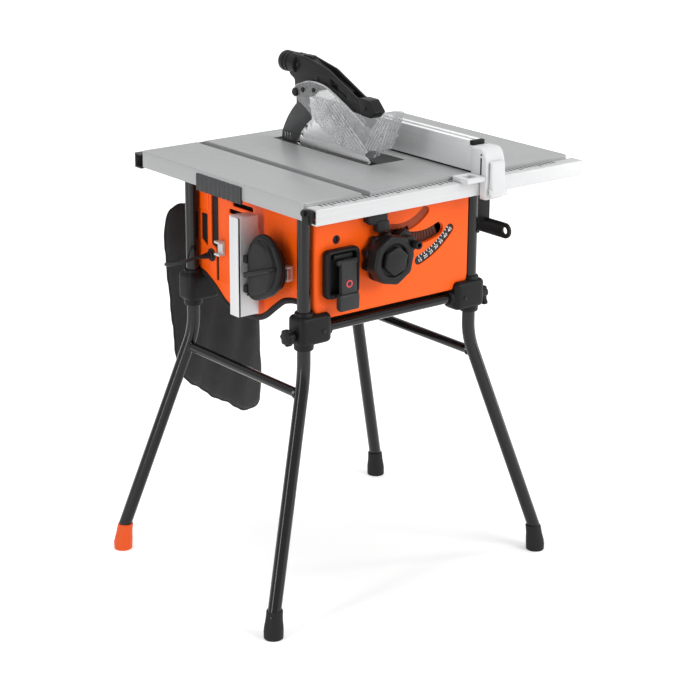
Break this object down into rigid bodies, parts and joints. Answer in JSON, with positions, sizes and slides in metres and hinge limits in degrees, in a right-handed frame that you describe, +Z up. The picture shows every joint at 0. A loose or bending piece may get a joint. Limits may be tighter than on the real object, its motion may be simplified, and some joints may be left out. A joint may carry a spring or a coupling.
{
  "type": "table saw",
  "caption": "Table saw on splayed tube legs: flat table with a tilting, lifting blade under a clear guard, sliding rip fence, mitre gauge, push stick and dust bag.",
  "frame": {"origin": "on the floor, under the middle of the whole saw's footprint without its cord", "axes": "+X to the right along the front of the table, +Y to the back, +Z up out of the table"},
  "size_m": [0.7698, 0.6024, 0.966],
  "materials": {
    "table_grey": "satin",
    "bright_aluminium": "satin",
    "cast_alloy": "matte",
    "steel": "satin",
    "orange_plastic": "satin",
    "black_plastic": "satin",
    "dark_metal": "satin",
    "black_tube": "gloss",
    "white_plastic": "satin",
    "bag_fabric": "matte",
    "black_rubber": "matte",
    "clear_plastic": "gloss"
  },
  "bodies": {
    "base": {"table_top": "table_grey", "throat_insert": "black_plastic", "front_rail": "bright_aluminium", "rear_rail": "dark_metal", "rail_cap": "black_plastic", "front_panel": "orange_plastic", "left_panel": "orange_plastic", "rear_shell": "orange_plastic", "right_cover": "black_plastic", "switch_box": "black_plastic", "dust_bag": "bag_fabric", "clip_front": "steel", "clip_rear": "steel", "post_front_left": "black_tube", "post_front_right": "black_tube", "post_back_left": "black_tube", "post_back_right": "black_tube", "front_bar": "black_tube", "rear_bar": "black_tube", "block_front_left": "black_plastic", "block_front_right": "black_plastic", "block_back_left": "black_plastic", "block_back_right": "black_plastic", "cord_gland": "black_rubber", "cord": "black_rubber", "cord_coil": "black_rubber", "plug": "black_rubber"},
    "tilt": {"cradle": "cast_alloy", "bevel_plate": "black_plastic", "splitter": "dark_metal", "guard_arm": "black_plastic"},
    "lift": {"lift_plate": "cast_alloy", "motor": "dark_metal"},
    "spin": {"blade": "steel", "arbor": "steel"},
    "guard": {"guard_shell": "clear_plastic"},
    "crank": {"crank_wheel": "black_plastic"},
    "crank_grip": {"crank_knob": "black_rubber"},
    "bevel_lock": {"bevel_lever": "black_plastic"},
    "flap": {"switch_flap": "black_plastic"},
    "fence": {"fence_body": "bright_aluminium", "fence_head": "white_plastic", "fence_cursor": "white_plastic"},
    "fence_clamp": {"fence_lever": "white_plastic"},
    "gauge": {"mitre_bar": "steel"},
    "gauge_head": {"mitre_head": "black_plastic", "mitre_face": "bright_aluminium"},
    "stick": {"push_stick": "black_plastic"},
    "left_legs": {"leg_front_left": "black_tube", "leg_back_left": "black_tube", "crossbar_left": "black_tube", "foot_front_left": "black_rubber"},
    "adjust_foot": {"foot_back_left": "orange_plastic"},
    "right_legs": {"leg_front_right": "black_tube", "leg_back_right": "black_tube", "crossbar_right": "black_tube", "foot_front_right": "black_rubber", "foot_back_right": "black_rubber"},
    "left_knob": {"clamp_knob_left": "black_plastic"},
    "right_knob": {"clamp_knob_right": "black_plastic"}
  },
  "joints": [
    {"name": "tilt_bevel", "type": "hinge", "parent": "base", "child": "tilt", "pos_m": [0.02185, 0, 0.787], "axis": [0, -1, 0], "range_deg": [0, 45]},
    {"name": "blade_lift", "type": "slide", "parent": "tilt", "child": "lift", "axis": [0, 0, 1], "range_m": [-0.07, 0]},
    {"name": "blade_spin", "type": "hinge", "parent": "lift", "child": "spin", "pos_m": [0.02185, 0.0442, 0.73], "axis": [1, 0, 0], "continuous": true},
    {"name": "guard_swing", "type": "hinge", "parent": "tilt", "child": "guard", "pos_m": [0.02185, 0.1392, 0.893], "axis": [-1, 0, 0], "range_deg": [0, 35]},
    {"name": "crank_turn", "type": "hinge", "parent": "tilt", "child": "crank", "pos_m": [-0.07415, -0.2348, 0.656], "axis": [0, 1, 0], "range_deg": [-2520, 0]},
    {"name": "crank_grip_spin", "type": "hinge", "parent": "crank", "child": "crank_grip", "pos_m": [-0.02521, -0.2508, 0.67882], "axis": [0, 1, 0], "continuous": true},
    {"name": "bevel_lock_turn", "type": "hinge", "parent": "base", "child": "bevel_lock", "pos_m": [-0.08815, -0.2138, 0.715], "axis": [0, -1, 0], "range_deg": [0, 60]},
    {"name": "flap_lift", "type": "hinge", "parent": "base", "child": "flap", "pos_m": [-0.16515, -0.2326, 0.668], "axis": [-1, 0, 0], "range_deg": [0, 80]},
    {"name": "fence_slide", "type": "slide", "parent": "base", "child": "fence", "axis": [1, 0, 0], "range_m": [-0.078, 0.2]},
    {"name": "fence_clamp_lift", "type": "hinge", "parent": "fence", "child": "fence_clamp", "pos_m": [0.14135, -0.2872, 0.817], "axis": [-1, 0, 0], "range_deg": [0, 90]},
    {"name": "gauge_removal", "type": "slide", "parent": "base", "child": "gauge", "axis": [-1, 0, 0], "range_m": [0, 0.25]},
    {"name": "gauge_swivel", "type": "hinge", "parent": "gauge", "child": "gauge_head", "pos_m": [-0.24015, -0.0888, 0.634], "axis": [1, 0, 0], "range_deg": [-50, 50]},
    {"name": "stick_draw", "type": "slide", "parent": "base", "child": "stick", "axis": [0, -1, 0], "range_m": [0, 0.3]},
    {"name": "left_legs_draw", "type": "slide", "parent": "base", "child": "left_legs", "axis": [0, 0, -1], "range_m": [0, 0.06]},
    {"name": "foot_adjust", "type": "slide", "parent": "left_legs", "child": "adjust_foot", "axis": [0, 0, -1], "range_m": [0, 0.012]},
    {"name": "right_legs_draw", "type": "slide", "parent": "base", "child": "right_legs", "axis": [0, 0, -1], "range_m": [0, 0.06]},
    {"name": "left_knob_turn", "type": "hinge", "parent": "base", "child": "left_knob", "pos_m": [-0.26205, -0.2048, 0.535], "axis": [1, 0, 0], "continuous": true},
    {"name": "right_knob_turn", "type": "hinge", "parent": "base", "child": "right_knob", "pos_m": [0.18075, -0.2048, 0.535], "axis": [1, 0, 0], "continuous": true}
  ],
  "couplings": [
    {"joint": "crank_turn", "follows": "blade_lift", "rad_per_m": 628.32}
  ]
}
